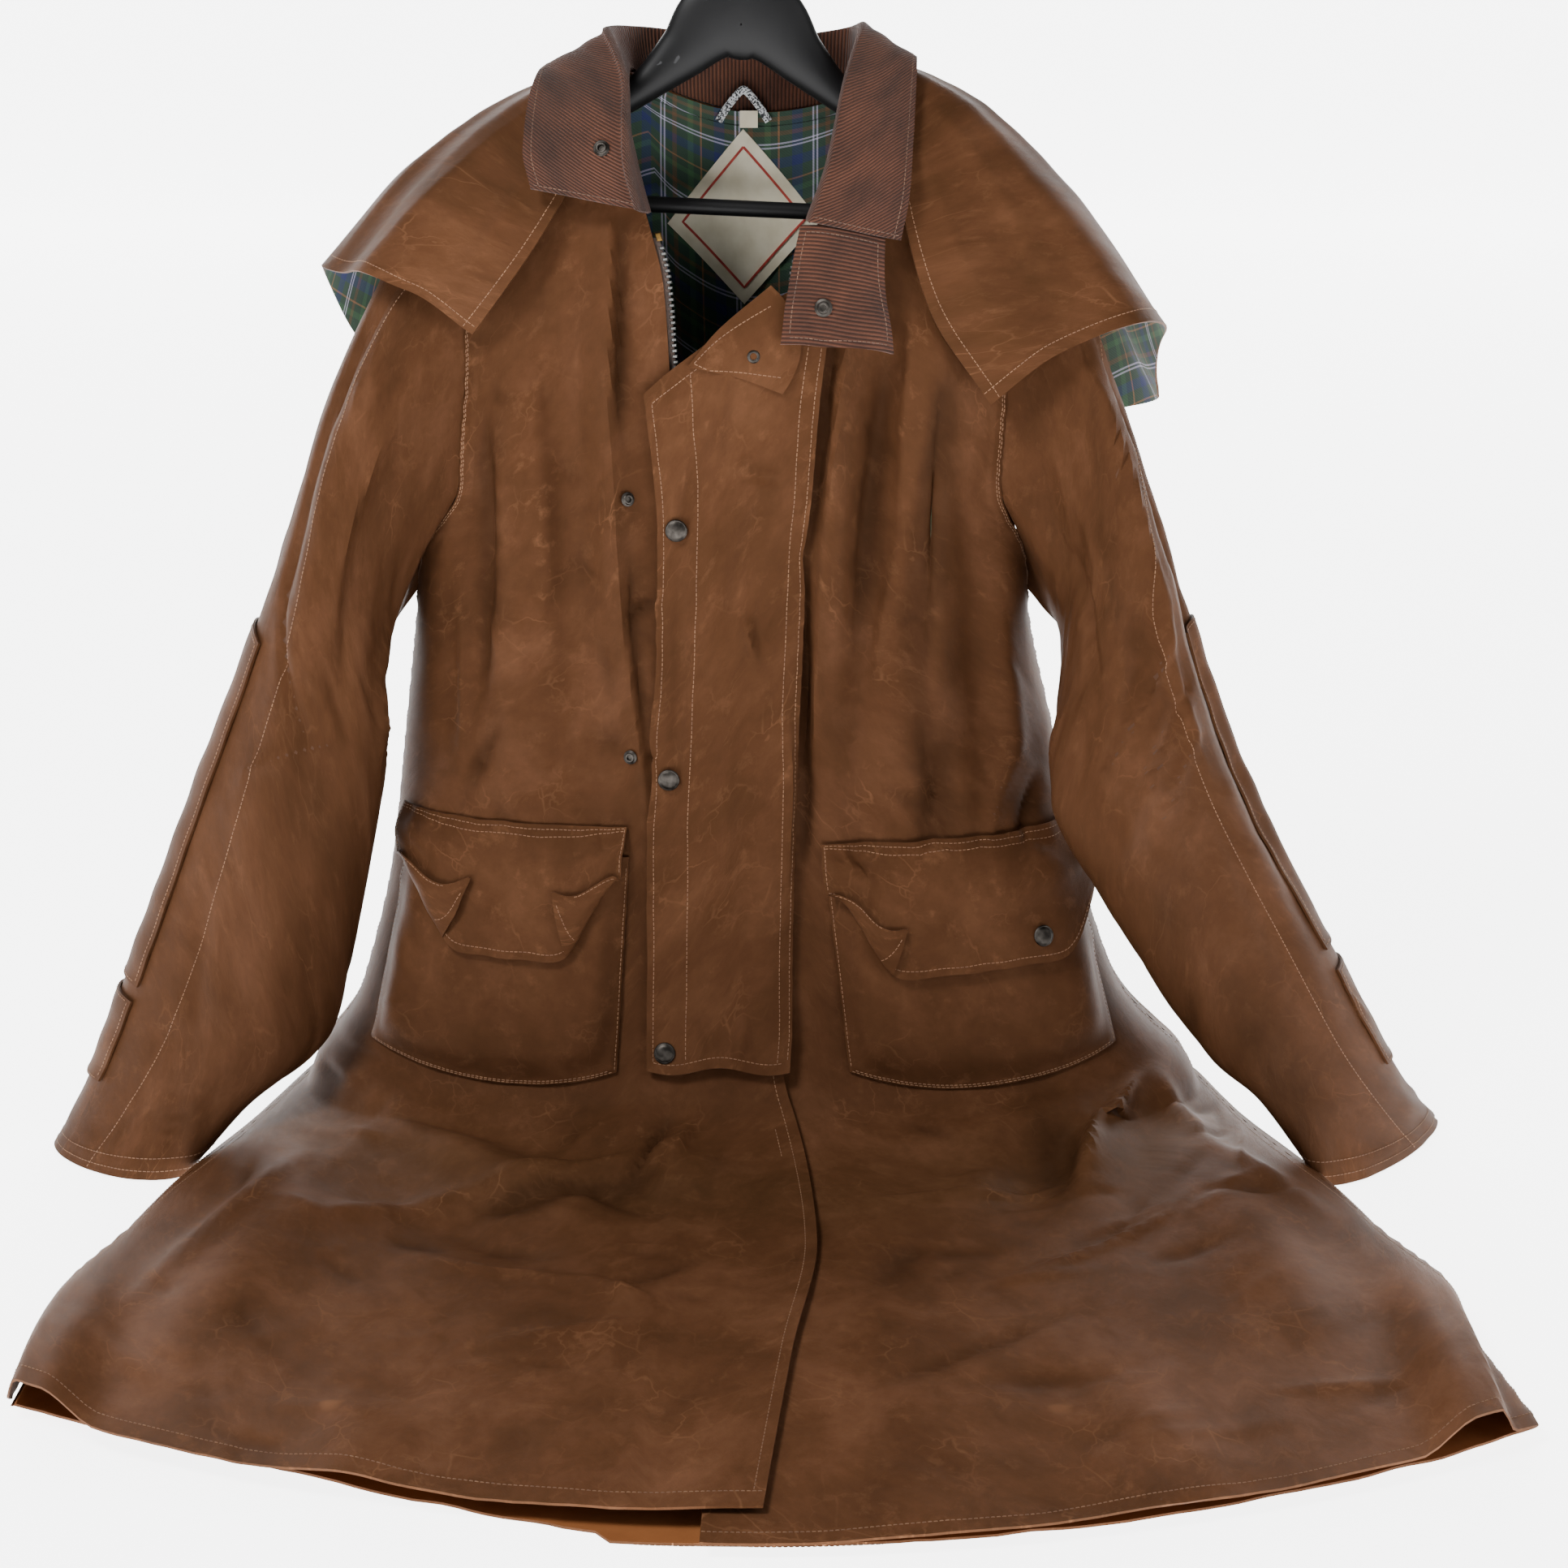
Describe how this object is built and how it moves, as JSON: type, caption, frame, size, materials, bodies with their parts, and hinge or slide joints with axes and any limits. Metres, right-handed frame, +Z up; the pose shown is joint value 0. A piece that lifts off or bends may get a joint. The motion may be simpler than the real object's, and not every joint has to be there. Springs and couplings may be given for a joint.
{
  "type": "duster coat on a hanger",
  "caption": "Long waxed duster coat with shoulder cape, corduroy collar and storm placket, hung on a plastic hanger with its skirt spread forward on the floor.",
  "frame": {"origin": "top of the rail opening, inside the crown of the hanger's hook", "axes": "+X to the wearer's left (the right as seen from the front), -Y out of the front, +Z up; the floor that the skirt lies on is at z = -0.985"},
  "size_m": [1.1399, 0.8276, 0.989],
  "materials": {
    "waxed_cotton": "waxed, dull sheen",
    "waxed_cotton_trim": "waxed, dull sheen",
    "corduroy": "ribbed pile",
    "plaid_lining": "woven check",
    "woven_label": "woven",
    "speckled_cord": "woven tape",
    "zip_tape": "woven tape",
    "gunmetal": "dark plated",
    "black_plastic": "satin",
    "hook_steel": "plated wire"
  },
  "bodies": {
    "root": {"back": "waxed_cotton", "cape": "waxed_cotton_trim", "collar": "corduroy", "collar_tab": "corduroy", "cuff_tab_left": "waxed_cotton_trim", "cuff_tab_right": "waxed_cotton_trim", "elbow_patch_left": "waxed_cotton_trim", "elbow_patch_right": "waxed_cotton_trim", "flap_left": "waxed_cotton_trim", "flap_right": "waxed_cotton_trim", "front_left": "waxed_cotton", "front_right": "waxed_cotton", "hang_loop": "speckled_cord", "hanger_body": "black_plastic", "hanger_hook": "hook_steel", "label": "woven_label", "lining_back": "plaid_lining", "placket": "waxed_cotton_trim", "placket_corner": "waxed_cotton_trim", "pocket_left": "waxed_cotton_trim", "pocket_right": "waxed_cotton_trim", "size_tab": "woven_label", "sleeve_left": "waxed_cotton", "sleeve_right": "waxed_cotton", "snap_collar": "gunmetal", "snap_corner": "gunmetal", "snap_flap_left": "gunmetal", "snap_placket_1": "gunmetal", "snap_placket_2": "gunmetal", "snap_placket_3": "gunmetal", "snap_stud_1": "gunmetal", "snap_stud_2": "gunmetal", "snap_tab": "gunmetal", "zip_tape_left": "zip_tape", "zip_tape_right": "zip_tape"}
  },
  "joints": []
}
